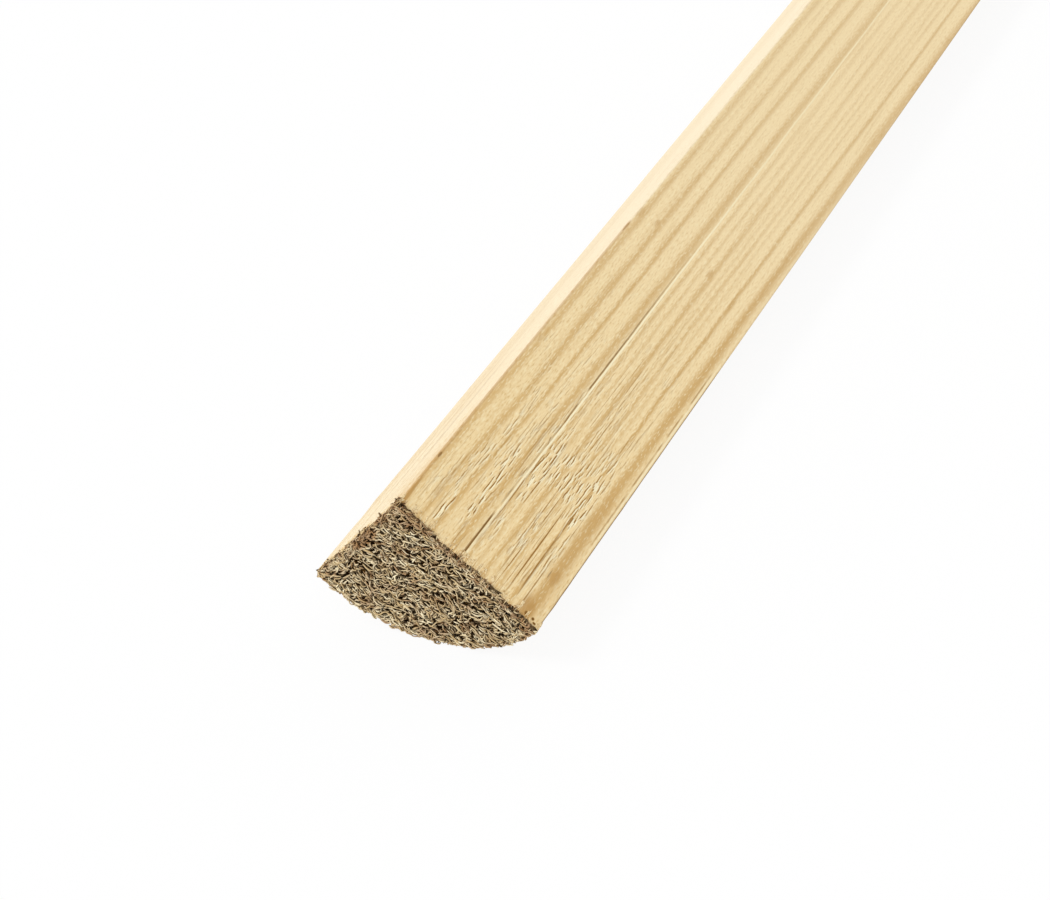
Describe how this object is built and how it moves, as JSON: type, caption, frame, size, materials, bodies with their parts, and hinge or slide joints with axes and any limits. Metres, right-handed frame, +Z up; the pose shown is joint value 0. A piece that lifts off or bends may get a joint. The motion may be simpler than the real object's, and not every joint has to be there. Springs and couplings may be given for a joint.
{
  "type": "quarter round moulding",
  "caption": "Length of pine quarter round moulding: two flats at a right angle and a quarter-circle face, with rough-sawn square ends.",
  "frame": {"origin": "middle of the length, below the heel, on the line where the round face touches the floor", "axes": "+Z up from the round face to the heel, +Y along the length, +X towards the right-hand flat"},
  "size_m": [0.0252, 0.9, 0.0179],
  "materials": {
    "pine": "planed bare pine with straight grain, rough-sawn at both ends"
  },
  "bodies": {
    "root": {"quarter_round": "pine"}
  },
  "joints": []
}
